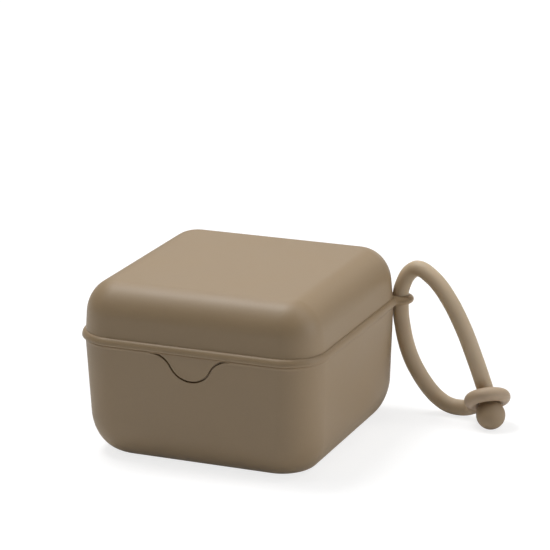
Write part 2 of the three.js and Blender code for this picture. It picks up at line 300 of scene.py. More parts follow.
class BoxFinish(bpy.types.PropertyGroup):
    """Colours and surface of the moulded plastic and the silicone. The eyelet's colour is a lighter
    copy of the shell's, and the cord's, the ring's and the ball's are lighter and darker copies of one
    silicone colour: painted light and shade.
    """
    shell: FloatVectorProperty(name="Shell", description="Colour of the base and the lid",
                               subtype="COLOR", size=3, default=(0.357, 0.253, 0.145))
    # Painted light: the eyelet is the shell's plastic, and this lighter copy of the shell's colour
    # stands in for light that the lamps don't bring to its face
    eyelet: FloatVectorProperty(name="Eyelet", description="Colour of the eyelet",
                                subtype="COLOR", size=3, default=(0.440, 0.312, 0.179))
    # Painted light and shade: the cord, the ring and the ball are one silicone; the cord's colour is a
    # lighter copy for the light on it, the ring's a little lighter, and the ball's a darker copy for
    # the shade it lies in under the ring
    cord: FloatVectorProperty(name="Cord", description="Colour of the strap's cord",
                              subtype="COLOR", size=3, default=(0.622, 0.490, 0.335))
    ring: FloatVectorProperty(name="Ring", description="Colour of the strap's ring",
                              subtype="COLOR", size=3, default=(0.510, 0.390, 0.272))
    ball: FloatVectorProperty(name="Ball", description="Colour of the strap's ball",
                              subtype="COLOR", size=3, default=(0.394, 0.290, 0.184))
    shell_roughness: FloatProperty(name="Shell roughness", description="Roughness of the plastic",
                                   default=0.5, subtype="FACTOR")
    strap_roughness: FloatProperty(name="Strap roughness", description="Roughness of the silicone",
                                   default=0.5, subtype="FACTOR")


class StudioSettings(bpy.types.PropertyGroup):
    """Camera and light."""
    lens: FloatProperty(name="Lens", description="Focal length in millimetres", default=174.74)
    power: FloatProperty(name="Power", description="Power of a lamp with a share of one", default=10.0,
                         unit="POWER")
    floor: FloatProperty(name="Floor", description="Width of the floor", default=12.0, unit="LENGTH")
    lamp_size: FloatProperty(name="Lamp size", description="Width of a lamp", default=0.55,
                             unit="LENGTH")
    lamp_distance: FloatProperty(name="Lamp distance", description="From the box to a lamp",
                                 default=1.6, unit="LENGTH")


# Meshes

def outline(mesh, half_x, half_y, radius, height):
    """Draws one level outline, a rectangle with rounded corners, and returns its edges."""
    corners = bmesh.ops.create_grid(mesh, x_segments=1, y_segments=1, size=1.0)["verts"]
    bmesh.ops.scale(mesh, vec=(half_x, half_y, 1.0), verts=corners)
    bmesh.ops.translate(mesh, vec=(0.0, 0.0, height), verts=corners)
    rounded = bmesh.ops.bevel(mesh, geom=corners, offset=radius, offset_type="OFFSET",
                              affect="VERTICES", segments=CORNER_STEPS, profile=0.5, material=-1)
    face = rounded["verts"][0].link_faces[0]
    step = radius * QUARTER / CORNER_STEPS
    runs = [edge for edge in face.edges if edge.calc_length() > 2 * step]
    if runs:
        bmesh.ops.subdivide_edges(mesh, edges=runs, cuts=RUN_CUTS)
        face = runs[0].link_faces[0]
    edges = list(face.edges)
    bmesh.ops.delete(mesh, geom=[face], context="FACES_ONLY")
    return edges


def shift(mesh, rims, step):
    """Moves each outline of a row up by one step more than the one before."""
    for place, rim in enumerate(rims):
        verts = list({vert for edge in rim for vert in edge.verts})
        bmesh.ops.translate(mesh, vec=(0.0, 0.0, place * step), verts=verts)


def layered(mesh, rims):
    """Skins level outlines, which stand well apart while they are bridged."""
    shift(mesh, rims, BRIDGE_GAP)
    skin(mesh, rims)
    shift(mesh, rims, -BRIDGE_GAP)
    bmesh.ops.recalc_face_normals(mesh, faces=mesh.faces)


def skin(mesh, rims):
    """Bridges a row of closed outlines and closes both ends."""
    for near, far in zip(rims, rims[1:]):
        bmesh.ops.bridge_loops(mesh, edges=near + far)
    for rim in (rims[0], rims[-1]):
        bmesh.ops.edgeloop_fill(mesh, edges=rim)
    bmesh.ops.recalc_face_normals(mesh, faces=mesh.faces)


def face_towards(mesh, verts, direction, place):
    """Turns what is drawn about the upright axis to a direction and moves it to its place."""
    turn = Vector(UP).rotation_difference(direction).to_matrix()
    bmesh.ops.rotate(mesh, matrix=turn, verts=verts)
    bmesh.ops.translate(mesh, vec=place, verts=verts)


def thicken(mesh, step):
    """Makes a solid from a flat drawing, which is extruded by one step."""
    grown = bmesh.ops.extrude_face_region(mesh, geom=mesh.faces[:])["geom"]
    moved = [item for item in grown if isinstance(item, bmesh.types.BMVert)]
    bmesh.ops.translate(mesh, vec=step, verts=moved)
    bmesh.ops.recalc_face_normals(mesh, faces=mesh.faces)


def piece_from(mesh, name):
    """Makes an object at the origin from a finished bmesh."""
    data = bpy.data.meshes.new(name)
    mesh.to_mesh(data)
    mesh.free()
    made = bpy.data.objects.new(name, data)
    bpy.context.scene.collection.objects.link(made)
    return made


def combine(piece, tool, operation):
    """Joins a tool solid to a piece, or cuts the piece with it, and drops the tool."""
    change = piece.modifiers.new("change", "BOOLEAN")
    change.operation = operation
    change.object = tool
    change.solver = "EXACT"
    graph = bpy.context.evaluated_depsgraph_get()
    shaped = bpy.data.meshes.new_from_object(piece.evaluated_get(graph))
    piece.modifiers.clear()
    piece.data = shaped
    bpy.data.objects.remove(tool)
    if not shaped.polygons:
        raise RuntimeError(f"{piece.name} was lost when it was cut or joined")


def smooth(piece):
    """Shades a piece smooth between its real edges, with the large faces kept level."""
    piece.data.polygons.foreach_set("use_smooth", [True] * len(piece.data.polygons))
    piece.data.set_sharp_from_angle(angle=SHARP_ANGLE)
    even = piece.modifiers.new("even", "WEIGHTED_NORMAL")
    even.mode = "FACE_AREA"
    even.weight = LARGE_FACES
    even.keep_sharp = True


def dress(piece, material, body):
    """Gives a piece its material, its body and the slot that its finish comes from."""
    piece.data.materials.clear()
    piece.data.materials.append(material)
    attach(piece, body)


def arc(steps, start=0.0, end=QUARTER):
    """Angles, heights or shares in even steps, both ends included."""
    return [start + (end - start) * i / steps for i in range(steps + 1)]


# Box

def base_level(box, height, curl, depth):
    """One outline of the base: curl is what the foot turns in, depth lies inside the surface."""
    inset = box.base_draft * (box.parting - min(height, box.land)) + curl
    return (box.half_width - inset - depth, box.half_depth - inset - depth,
            box.corner - CORNER_TAPER * inset - depth, height)


def base_levels(box, band):
    """The base's outlines, from the underside out, up, over the lip and down inside."""
    edge, flare = LAND_EDGE, band.rim_flare
    levels = []
    for angle in arc(FILLET_STEPS):
        rise = box.foot_up * (1 - math.cos(angle))
        levels.append((rise, box.foot_out * (1 - math.sin(angle)), 0.0))
    levels += [(box.foot_up + WALL_START, 0.0, 0.0), (WALL_MIDDLE, 0.0, 0.0)]
    for share in arc(EDGE_STEPS, 0.0, 1.0):
        levels.append((box.land - edge - (1 - share) * FLARE_RISE, 0.0, -flare * share ** 2))
    for angle in arc(EDGE_STEPS)[1:]:
        levels.append((box.land - edge * (1 - math.sin(angle)), 0.0,
                       edge * (1 - math.cos(angle)) - flare))
    for angle in arc(EDGE_STEPS):
        levels.append((box.land + edge * (1 - math.cos(angle)), 0.0,
                       box.lip_depth - edge * (1 - math.sin(angle))))
    for angle in arc(EDGE_STEPS):
        levels.append((box.lip_top - LIP_EDGE * (1 - math.sin(angle)), 0.0,
                       box.lip_depth + LIP_EDGE * (1 - math.cos(angle))))
    for angle in arc(EDGE_STEPS):
        levels.append((box.lip_top - LIP_EDGE * (1 - math.cos(angle)), 0.0,
                       box.wall - LIP_EDGE * (1 - math.sin(angle))))
    levels += [(LIP_FOOT, 0.0, box.wall), (WALL_MIDDLE, 0.0, box.wall)]
    for angle in reversed(arc(FILLET_STEPS)):
        rise = (box.foot_up - box.wall) * (1 - math.cos(angle))
        levels.append((box.wall + rise, (box.foot_out - box.wall) * (1 - math.sin(angle)), box.wall))
    return levels


def lid_level(box, height, inset):
    """One outline of the lid, a given distance inside the box's widest outline."""
    return (box.half_width - inset, box.half_depth - inset, max(box.corner - inset, LEAST_CORNER),
            height)


def lid_lean(box, height):
    """How far the lid's wall stands back at a height."""
    return box.lid_step + box.lid_draft * (height - box.crease)


def crown(box, top, depth):
    """The lid's rounded upper edge, or its inside at a depth, from the wall up to the roof."""
    levels = []
    for angle in arc(FILLET_STEPS, 0.0, CROWN_END):
        height = top - (box.roof_down - depth) * (1 - math.sin(angle))
        inset = (box.roof_in - depth) * (1 - math.cos(angle)) + depth
        levels.append((height, lid_lean(box, height) + inset))
    return levels


def band_profile(box, band):
    """The band's section from the lid's foot up to the crease, as heights and reaches."""
    hollow = band.hollow_reach
    widest = box.crease - band.bead_rise
    profile = []
    for angle in arc(EDGE_STEPS, -QUARTER, 0.0):
        profile.append((box.foot + band.rib_under * (1 + math.sin(angle)),
                        band.rim_flare + (band.rib_reach - band.rim_flare) * math.cos(angle)))
    for angle in arc(EDGE_STEPS)[1:]:
        profile.append((box.foot + band.rib_under + band.rib_rise * math.sin(angle),
                        hollow + (band.rib_reach - hollow) * math.cos(angle)))
    for angle in arc(EDGE_STEPS, -QUARTER, 0.0)[:-1]:
        profile.append((widest + band.bead_under * math.sin(angle),
                        hollow + (band.bead_reach - hollow) * math.cos(angle)))
    for angle in arc(BEAD_STEPS):
        profile.append((widest + band.bead_rise * math.sin(angle),
                        (band.bead_reach + box.lid_step) * math.cos(angle) - box.lid_step))
    return profile


def band_reach(box, band, height):
    """How far the band stands out at a height."""
    profile = band_profile(box, band)
    if height <= profile[0][0]:
        return -band.rim_flare
    for (low, near), (high, far) in zip(profile, profile[1:]):
        if height <= high:
            return near + (far - near) * (height - low) / (high - low)
    return profile[-1][1]


def lid_levels(box, band):
    """The lid's outlines, from its ceiling down inside, round its foot and up to the dome."""
    lean = box.base_draft * (box.parting - box.land)
    skirt = box.skirt_depth + lean
    edge = LID_EDGE
    ledge = box.lip_top + LIP_ROOM
    roof = box.height - box.dome
    levels = list(reversed(crown(box, roof - box.lid_wall, box.lid_wall)))
    inside = lid_lean(box, ledge) + box.lid_wall
    levels += [(ledge + edge, inside), (ledge, inside - edge),
               (ledge, skirt + edge), (ledge - edge, skirt)]
    for angle in arc(EDGE_STEPS):
        levels.append((box.foot + edge * (FOOT_LIFT - math.sin(angle)),
                       skirt - edge * (1 - math.cos(angle))))
    levels += [(height, -reach) for height, reach in band_profile(box, band)]
    for rise in LID_WALL_STARTS:
        levels.append((box.crease + rise, lid_lean(box, box.crease + rise)))
    levels += crown(box, roof, 0.0)
    return levels


def dome_rims(mesh, box):
    """Outlines that shrink and grow rounder towards the middle of the roof."""
    _, inset = crown(box, box.height - box.dome, 0.0)[-1]
    rims = []
    for step in range(1, DOME_STEPS):
        left = 1 - step / DOME_STEPS
        half_x, half_y = (box.half_width - inset) * left, (box.half_depth - inset) * left
        rounding = 1 - DOME_SQUARENESS * left
        rims.append(outline(mesh, half_x, half_y, half_y * rounding, box.height - box.dome * left ** 2))
    return rims


def swing(mesh, point, centre, angle, axis=(0.0, 1.0, 0.0), steps=ARC_STEPS):
    """Turns a point about a centre and leaves an arc of edges behind it."""
    turned = bmesh.ops.spin(mesh, geom=[point], cent=centre, axis=axis, angle=angle, steps=steps)
    return next(item for item in turned["geom_last"] if isinstance(item, bmesh.types.BMVert))


def tab_outline(mesh, band, offset, y, top):
    """The tab's bell shape in an upright plane: a round bottom with a flare on each side."""
    flare_height = band.tab_shoulder - band.tab_flare
    rise = flare_height - band.tab_centre
    flare_x = math.sqrt((band.tab_radius + band.tab_flare) ** 2 - rise ** 2)
    lean = math.atan2(rise, flare_x)
    before = set(mesh.edges)
    first = mesh.verts.new((-flare_x, y, top))
    corner = mesh.verts.new((-flare_x, y, flare_height + band.tab_flare - offset))
    mesh.edges.new((first, corner))
    point = swing(mesh, corner, (-flare_x, y, flare_height), QUARTER + lean)
    point = swing(mesh, point, (0.0, y, band.tab_centre), -(math.pi + 2 * lean))
    point = swing(mesh, point, (flare_x, y, flare_height), QUARTER + lean)
    last = mesh.verts.new((flare_x, y, top))
    mesh.edges.new((point, last))
    mesh.edges.new((last, first))
    return [edge for edge in mesh.edges if edge not in before]


def tab_solid(box, band, name, offsets, top):
    """A bell-shaped block that follows the front wall's lean: offsets are (offset, depth) pairs."""
    mesh = bmesh.new()
    skin(mesh, [tab_outline(mesh, band, offset, depth, top) for offset, depth in offsets])
    for vert in mesh.verts:
        vert.co.y += -box.half_depth + box.base_draft * (box.parting - vert.co.z)
    return piece_from(mesh, name)


def rod(name, radius, near, far):
    """A rod along the hinge axis between two places across the box."""
    mesh = bmesh.new()
    bmesh.ops.create_cone(mesh, cap_ends=True, segments=ROUND_STEPS, radius1=radius, radius2=radius,
                          depth=far - near)
    bmesh.ops.rotate(mesh, matrix=Matrix.Rotation(QUARTER, 3, "Y"), verts=mesh.verts)
    bmesh.ops.translate(mesh, vec=((near + far) / 2, HINGE_POINT.y, HINGE_POINT.z), verts=mesh.verts)
    return piece_from(mesh, name)


def block(name, low, high):
    """A block between two corners."""
    mesh = bmesh.new()
    bmesh.ops.create_cube(mesh, size=1.0)
    low, high = Vector(low), Vector(high)
    bmesh.ops.scale(mesh, vec=high - low, verts=mesh.verts)
    bmesh.ops.translate(mesh, vec=(low + high) / 2, verts=mesh.verts)
    return piece_from(mesh, name)


def web(box, hinge, near, far):
    """The web under one hinge ear, from the back wall to the ear's round end."""
    root = box.half_depth - box.lip_depth
    top = box.land - WEB_SINK
    mesh = bmesh.new()
    corners = [(root, top), (root, top - WEB_DEPTH),
               (HINGE_POINT.y + hinge.ear * math.cos(WEB_TOUCH),
                HINGE_POINT.z + hinge.ear * math.sin(WEB_TOUCH)),
               (HINGE_POINT.y, top)]
    mesh.faces.new([mesh.verts.new((near, y, z)) for y, z in corners])
    thicken(mesh, (far - near, 0, 0))
    return piece_from(mesh, "ear")


# Eyelet

def at_corner(mesh, box):
    """Moves what is drawn about the origin to the rear right corner's centre, facing out."""
    bmesh.ops.rotate(mesh, matrix=Matrix.Rotation(EYELET_TURN, 3, "Z"), verts=mesh.verts)
    bmesh.ops.translate(mesh, vec=(box.half_width - box.corner, box.half_depth - box.corner, 0),
                        verts=mesh.verts)


def eyelet_outline(mesh, band, reach, ring, height):
    """One level of the eyelet: a piece of the band, a fillet, the ring, and the same back."""
    half_angle = math.asin(ROOT_HALF / ROOT_REACH)
    middle, fillet = band.eyelet_reach, band.eyelet_fillet
    to_corner, to_ring = reach + fillet, ring + fillet
    along = (middle ** 2 + to_corner ** 2 - to_ring ** 2) / (2 * middle)
    aside = math.sqrt(to_corner ** 2 - along ** 2)
    touch = math.atan2(aside, along)
    turn = math.atan2(aside, middle - along)
    before = set(mesh.edges)
    root = [mesh.verts.new((EYELET_INSIDE * math.cos(a), EYELET_INSIDE * math.sin(a), height))
            for a in (-half_angle, half_angle)]
    first = mesh.verts.new((reach * math.cos(half_angle), -reach * math.sin(half_angle), height))
    mesh.edges.new(root)
    mesh.edges.new((root[0], first))
    to_touch, fillet_turn = half_angle - touch, turn - (math.pi - touch)
    point = swing(mesh, first, (0, 0, height), to_touch, UP, EYELET_ROOT_STEPS)
    point = swing(mesh, point, (along, -aside, height), fillet_turn, UP, EYELET_FILLET_STEPS)
    point = swing(mesh, point, (middle, 0, height), 2 * (math.pi - turn), UP, EYELET_RING_STEPS)
    point = swing(mesh, point, (along, aside, height), fillet_turn, UP, EYELET_FILLET_STEPS)
    point = swing(mesh, point, (0, 0, height), to_touch, UP, EYELET_ROOT_STEPS)
    mesh.edges.new((point, root[1]))
    return [edge for edge in mesh.edges if edge not in before]


# Materials

class Shade:
    """A shader socket that takes part in Python sums, each of which adds a Math node."""

    def __init__(self, finish, socket):
        self.finish = finish
        self.socket = socket

    def _sum(self, operation, first, second):
        return self.finish.node("ShaderNodeMath", {"operation": operation}, {0: first, 1: second})

    def __add__(self, other):
        return self._sum("ADD", self, other)

    __radd__ = __add__

    def __mul__(self, other):
        return self._sum("MULTIPLY", self, other)

    __rmul__ = __mul__


class Finish:
    """The node tree of a material or of the world, under construction."""

    def __init__(self, owner):
        owner.use_nodes = True
        self.owner = owner
        self.tree = owner.node_tree
        self.tree.nodes.clear()

    def node(self, kind, settings=None, inputs=None, output=0):
        """Adds a node, sets it up, fills its sockets and returns one of its outputs."""
        made = self.tree.nodes.new(kind)
        for name, value in (settings or {}).items():
            setattr(made, name, value)
        for name, value in (inputs or {}).items():
            if isinstance(value, Shade):
                self.tree.links.new(value.socket, made.inputs[name])
            else:
                made.inputs[name].default_value = value
        return Shade(self, made.outputs[output]) if made.outputs else None

    def end(self, surface, kind="ShaderNodeOutputMaterial"):
        """Links the finished surface and returns what it belongs to."""
        self.node(kind, {}, {"Surface": surface})
        return self.owner

    def noise(self, place, scale, detail=2.0, roughness=0.5):
        """Noise of a given scale, as a number round one half."""
        return self.node("ShaderNodeTexNoise", {"noise_dimensions": "3D"},
                         {"Vector": place, "Scale": scale, "Detail": detail,
                          "Roughness": roughness}, "Fac")


def clouded(finish, mottle, colour, strength):
    """A colour that a mottle from 0 to 1 takes from a shade darker to a shade lighter."""
    darker, lighter = Vector(colour) * (1 - strength), Vector(colour) * (1 + strength)
    return finish.node("ShaderNodeMix", {"data_type": "RGBA", "clamp_factor": True},
                       {0: mottle, 6: (*darker, 1.0), 7: (*lighter, 1.0)}, 2)


def grey(level):
    """A grey as a colour socket takes it."""
    return (level, level, level, 1.0)


def moulded_plastic(name, colour, settings):
    """Fine matte moulded plastic: faint clouding, a satin grain and a little uneven gloss."""
    finish = Finish(bpy.data.materials.new(name))
    place = finish.node("ShaderNodeTexCoord", {}, {}, "Object")
    cloud = finish.noise(place, scale=55.0, detail=3.0)
    grain = finish.noise(place, scale=5200.0, roughness=0.6)
    fleck = finish.noise(place, scale=1400.0)
    tone = clouded(finish, cloud * 0.6 + fleck * 0.4, colour, PLASTIC_CLOUDING)
    bump = finish.node("ShaderNodeBump", {}, {
        "Strength": 0.35, "Distance": GRAIN_DEPTH, "Height": grain + fleck * 0.6})
    unevenness = cloud * 0.1 + grain * 0.06
    surface = finish.node("ShaderNodeBsdfPrincipled", {}, {
        "Base Color": tone, "Roughness": unevenness + (settings.shell_roughness - 0.08),
        "Specular IOR Level": 0.6, "Normal": bump})
    return finish.end(surface)


def soft_silicone(name, colour, settings):
    """Soft silicone that lets a little light in, with dust-fine grain and faint clouding."""
    finish = Finish(bpy.data.materials.new(name))
    place = finish.node("ShaderNodeTexCoord", {}, {}, "Object")
    cloud = finish.noise(place, scale=120.0, detail=3.0)
    dust = finish.noise(place, scale=2600.0, detail=3.0, roughness=0.7)
    tone = clouded(finish, cloud * 0.7 + dust * 0.3, colour, SILICONE_CLOUDING)
    bump = finish.node("ShaderNodeBump", {}, {
        "Strength": 0.3, "Distance": GRAIN_DEPTH, "Height": dust})
    surface = finish.node("ShaderNodeBsdfPrincipled", {}, {
        "Base Color": tone, "Roughness": cloud * 0.1 + (settings.strap_roughness - 0.05),
        "Specular IOR Level": 0.4, "Subsurface Weight": 0.25, "Subsurface Radius": (1.0, 0.75, 0.5),
        "Subsurface Scale": 1.0 * MM, "Normal": bump})
    return finish.end(surface)


def finish_for(maker, piece):
    """A maker's material in the colour of a piece, made when it is first asked for."""
    settings = bpy.context.scene.box_finish
    name = f"{maker.__name__}_{piece}"
    return bpy.data.materials.get(name) or maker(name, getattr(settings, piece), settings)


# Operators

class PACIFIERBOX_OT_camera(bpy.types.Operator):
    """Add the camera that sees the box from the front left and above"""
    bl_idname = "pacifier_box.add_camera"
    bl_label = "Camera"

    def execute(self, context):
        data = bpy.data.cameras.new("camera")
        data.sensor_width = CAMERA_SENSOR
        data.lens = context.scene.studio.lens
        data.clip_start = CAMERA_NEAR
        data.clip_end = CAMERA_FAR
        camera = bpy.data.objects.new("camera", data)
        right, up = Vector(CAMERA_RIGHT), Vector(CAMERA_UP)
        turn = Matrix((right, up, right.cross(up))).transposed()
        camera.matrix_world = Matrix.Translation(CAMERA_PLACE) @ turn.to_4x4()
        context.scene.collection.objects.link(camera)
        context.scene.camera = camera
        return {"FINISHED"}


class PACIFIERBOX_OT_strap(bpy.types.Operator):
    """Add the silicone strap: its cord, its ring and its ball"""
    bl_idname = "pacifier_box.add_strap"
    bl_label = "Strap"

    def execute(self, context):
        strap = context.scene.strap_sizes
        route = [Vector(point) * MM for point in STRAP_ROUTE]
        data = bpy.data.curves.new("strap_cord_soft", "CURVE")
        data.dimensions = "3D"
        data.bevel_depth = strap.cord / 2
        data.bevel_resolution = CORD_SIDE_CUTS
        data.resolution_u = CORD_RUN_CUTS
        data.use_fill_caps = True
        spline = data.splines.new("BEZIER")
        spline.bezier_points.add(len(route) - 1)
        for place, (knot, point) in enumerate(zip(spline.bezier_points, route)):
            knot.co = point
            knot.handle_left_type = knot.handle_right_type = "AUTO"
            swell = min(max((place - CORD_SWELL_START) / CORD_SWELL_RUN, 0.0), 1.0)
            knot.radius = 1.0 + CORD_SWELL * swell
        cord = bpy.data.objects.new("strap_cord_soft", data)
        context.scene.collection.objects.link(cord)
        # Painted light: the cord's colour is a lighter copy of the strap's silicone
        dress(cord, finish_for(soft_silicone, "cord"), "base")
        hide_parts("strap_cord")

        low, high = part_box("strap_ball")
        ball_centre = (low + high) / 2
        low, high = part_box("strap_ring")
        ring_centre = (low + high) / 2
        ring = self.ring(strap, ring_centre, Vector(RING_AXIS).normalized(), route)
        ball = self.ball(strap, ball_centre, route[-1])
        return {"FINISHED"}

    def ring(self, strap, centre, axis, route):
        """A torus, joined to the root through which the cord grows out of it."""
        mesh = bmesh.new()
        section = bmesh.ops.create_circle(mesh, segments=SECTION_STEPS, radius=strap.ring_section)
        bmesh.ops.rotate(mesh, matrix=Matrix.Rotation(QUARTER, 3, "X"), verts=section["verts"])
        bmesh.ops.translate(mesh, vec=(strap.ring, 0, 0), verts=section["verts"])
        bmesh.ops.spin(mesh, geom=mesh.verts[:] + mesh.edges[:], cent=(0, 0, 0), axis=UP,
                       angle=TURN, steps=RING_STEPS, use_merge=True)
        face_towards(mesh, mesh.verts, axis, centre)
        bmesh.ops.recalc_face_normals(mesh, faces=mesh.faces)
        ring = piece_from(mesh, "strap_ring_soft")
        combine(ring, self.root(strap, centre, axis, route), "UNION")
        fine = ring.modifiers.new("fine", "REMESH")
        fine.mode = "VOXEL"
        fine.voxel_size = RING_GRID
        fine.use_smooth_shade = True
        soft = ring.modifiers.new("soft", "SMOOTH")
        soft.factor = RING_SOFTNESS
        soft.iterations = RING_SOFTENINGS
        # Painted light: the ring's colour is a lighter copy of the strap's silicone
        dress(ring, finish_for(soft_silicone, "ring"), "base")
        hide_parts("strap_ring")
        return ring

    def root(self, strap, centre, axis, route):
        """A short root that narrows from the cord into the ring's middle line."""
        radial = route[0] - centre
        radial -= axis * radial.dot(axis)
        seat = centre + radial.normalized() * strap.ring
        way = (route[1] - route[0]).normalized()
        mesh = bmesh.new()
        rims = []
        for share, radius in ROOT_SECTIONS:
            section = bmesh.ops.create_circle(mesh, segments=SECTION_STEPS, radius=radius * MM)["verts"]
            if share <= 1:
                place = seat.lerp(route[0], share)
            else:
                place = route[0] + way * (share - 1) * ROOT_PAST_END
            lean = (route[0] - seat).normalized().lerp(way, min(max(share, 0.0), 1.0))
            face_towards(mesh, section, lean, place)
            rims.append([edge for edge in mesh.edges if edge.verts[0] in section])
        skin(mesh, rims)
        return piece_from(mesh, "strap_root")

    def ball(self, strap, centre, end):
        """The ball with a short neck that the cord runs into, spun about the cord's last run."""
        mesh = bmesh.new()
        aside = strap.neck + strap.blend
        height = math.sqrt((strap.ball + strap.blend) ** 2 - aside ** 2)
        tilt = math.atan2(aside, height)
        tip = mesh.verts.new((0, 0, -strap.ball))
        point = swing(mesh, tip, (0, 0, 0), tilt - math.pi, steps=BALL_STEPS)
        point = swing(mesh, point, (aside, 0, height), QUARTER - tilt, steps=NECK_STEPS)
        top = mesh.verts.new((strap.neck, 0, (end - centre).length + NECK_SINK))
        mesh.edges.new((point, top))
        pole = mesh.verts.new((0, 0, top.co.z))
        mesh.edges.new((top, pole))
        bmesh.ops.spin(mesh, geom=mesh.verts[:] + mesh.edges[:], cent=(0, 0, 0), axis=UP,
                       angle=TURN, steps=ROUND_STEPS, use_merge=True)
        bmesh.ops.remove_doubles(mesh, verts=mesh.verts, dist=SAME_PLACE)
        bmesh.ops.recalc_face_normals(mesh, faces=mesh.faces)
        face_towards(mesh, mesh.verts, end - centre, centre)
        ball = piece_from(mesh, "strap_ball_soft")
        smooth(ball)
        # Painted shade: the ball's colour is a darker copy of the strap's silicone, for the shade under
        # the ring
        dress(ball, finish_for(soft_silicone, "ball"), "base")
        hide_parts("strap_ball")
        return ball


class PACIFIERBOX_OT_base(bpy.types.Operator):
    """Add the base with its lip, its recess for the tab and its hinge ears"""
    bl_idname = "pacifier_box.add_base"
    bl_label = "Base"

    def execute(self, context):
        box, band = context.scene.box_sizes, context.scene.band_sizes
        hinge = context.scene.hinge_sizes
        mesh = bmesh.new()
        layered(mesh, [outline(mesh, *base_level(box, *level)) for level in base_levels(box, band)])
        base = piece_from(mesh, "base_shell")
        half = band.seam / 2
        middle = TAB_EDGE_MIDDLE * TAB_EDGE
        recess = tab_solid(box, band, "recess", [
            (half, box.lip_depth), (half, TAB_EDGE), (half + middle, middle),
            (half + TAB_EDGE, 0.0), (half + TAB_EDGE, RECESS_FRONT)], box.lip_top + RECESS_TOP)
        combine(base, recess, "DIFFERENCE")
        for side in (-1, 1):
            near, far = sorted((side * hinge.ear_near, side * hinge.ear_far))
            ear = web(box, hinge, near, far)
            combine(ear, rod("ear_end", hinge.ear, near, far), "UNION")
            combine(ear, rod("ear_hole", hinge.hole, near - MM, far + MM), "DIFFERENCE")
            combine(base, ear, "UNION")
        smooth(base)
        dress(base, finish_for(moulded_plastic, "shell"), "base")
        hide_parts("base_tub")
        return {"FINISHED"}


class PACIFIERBOX_OT_eyelet(bpy.types.Operator):
    """Add the eyelet that the strap is looped through"""
    bl_idname = "pacifier_box.add_eyelet"
    bl_label = "Eyelet"

    def execute(self, context):
        box, band = context.scene.box_sizes, context.scene.band_sizes
        mesh = bmesh.new()
        rims = []
        low, high = band.eyelet_foot, band.eyelet_top
        middle, half = (low + high) / 2, (high - low) / 2 + EYELET_CAP
        for height in arc(EYELET_LEVELS, low, high):
            share = abs(height - middle) / half
            ring = band.eyelet_radius * (1 - share ** EYELET_FULLNESS) ** (1 / EYELET_FULLNESS)
            reach = box.corner + band_reach(box, band, height)
            rims.append(eyelet_outline(mesh, band, reach, ring, height))
        skin(mesh, rims)
        at_corner(mesh, box)
        eyelet = piece_from(mesh, "strap_eyelet")
        hole = bmesh.new()
        bmesh.ops.create_cone(hole, cap_ends=True, segments=ROUND_STEPS, depth=HOLE_DEPTH,
                              radius1=band.eyelet_hole, radius2=band.eyelet_hole)
        bmesh.ops.translate(hole, vec=(band.eyelet_reach, 0, EYELET_MIDDLE), verts=hole.verts)
        at_corner(hole, box)
        combine(eyelet, piece_from(hole, "hole"), "DIFFERENCE")
        smooth(eyelet)
        # Painted light: the eyelet gets a lighter copy of the shell's plastic colour
        dress(eyelet, finish_for(moulded_plastic, "eyelet"), "base")
        return {"FINISHED"}


class PACIFIERBOX_OT_lid(bpy.types.Operator):
    """Add the lid with its bead, its strip, its finger tab and its hinge barrel"""
    bl_idname = "pacifier_box.add_lid"
    bl_label = "Lid"

    def execute(self, context):
        box, band = context.scene.box_sizes, context.scene.band_sizes
        hinge = context.scene.hinge_sizes
        mesh = bmesh.new()
        rims = [outline(mesh, *lid_level(box, *level)) for level in lid_levels(box, band)]
        layered(mesh, rims + dome_rims(mesh, box))
        lid = piece_from(mesh, "lid_shell")
        half = -band.seam / 2
        middle = TAB_EDGE_MIDDLE * TAB_EDGE
        tab = tab_solid(box, band, "tab", [
            (half, box.skirt_depth - TAB_BACK), (half, TAB_EDGE), (half - middle, middle),
            (half - TAB_EDGE, 0.0)], box.crease - band.bead_rise - TAB_TOP)
        combine(lid, tab, "UNION")
        combine(lid, self.notch(box, band), "DIFFERENCE")
        end = hinge.barrel_end
        for side in (-1, 1):
            near, far = sorted((side * end, side * hinge.room_end))
            combine(lid, rod("room", hinge.room, near, far), "DIFFERENCE")
        leaf = block("leaf", (-end, hinge.leaf_near, box.foot), (end, hinge.leaf_far, hinge.leaf_top))
        combine(lid, leaf, "UNION")
        combine(lid, rod("barrel", hinge.barrel, -end, end), "UNION")
        combine(lid, rod("pin", hinge.pin, -hinge.pin_end, hinge.pin_end), "UNION")
        smooth(lid)
        dress(lid, finish_for(moulded_plastic, "shell"), "lid")
        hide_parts("lid")
        return {"FINISHED"}

    def notch(self, box, band):
        """The gap in the band that the eyelet's root fills when the lid is down."""
        mesh = bmesh.new()
        half_angle = math.asin(ROOT_HALF / ROOT_REACH) + ROOT_PLAY / ROOT_REACH
        along, aside = math.cos(half_angle), -math.sin(half_angle)
        near = mesh.verts.new((NOTCH_NEAR * along, NOTCH_NEAR * aside, NOTCH_FOOT))
        far = mesh.verts.new((NOTCH_FAR * along, NOTCH_FAR * aside, NOTCH_FOOT))
        line = mesh.edges.new((near, far))
        bmesh.ops.spin(mesh, geom=[near, far, line], cent=(0, 0, 0), axis=UP,
                       angle=2 * half_angle, steps=NOTCH_STEPS)
        thicken(mesh, (0, 0, band.eyelet_top + NOTCH_TOP - NOTCH_FOOT))
        at_corner(mesh, box)
        return piece_from(mesh, "notch")


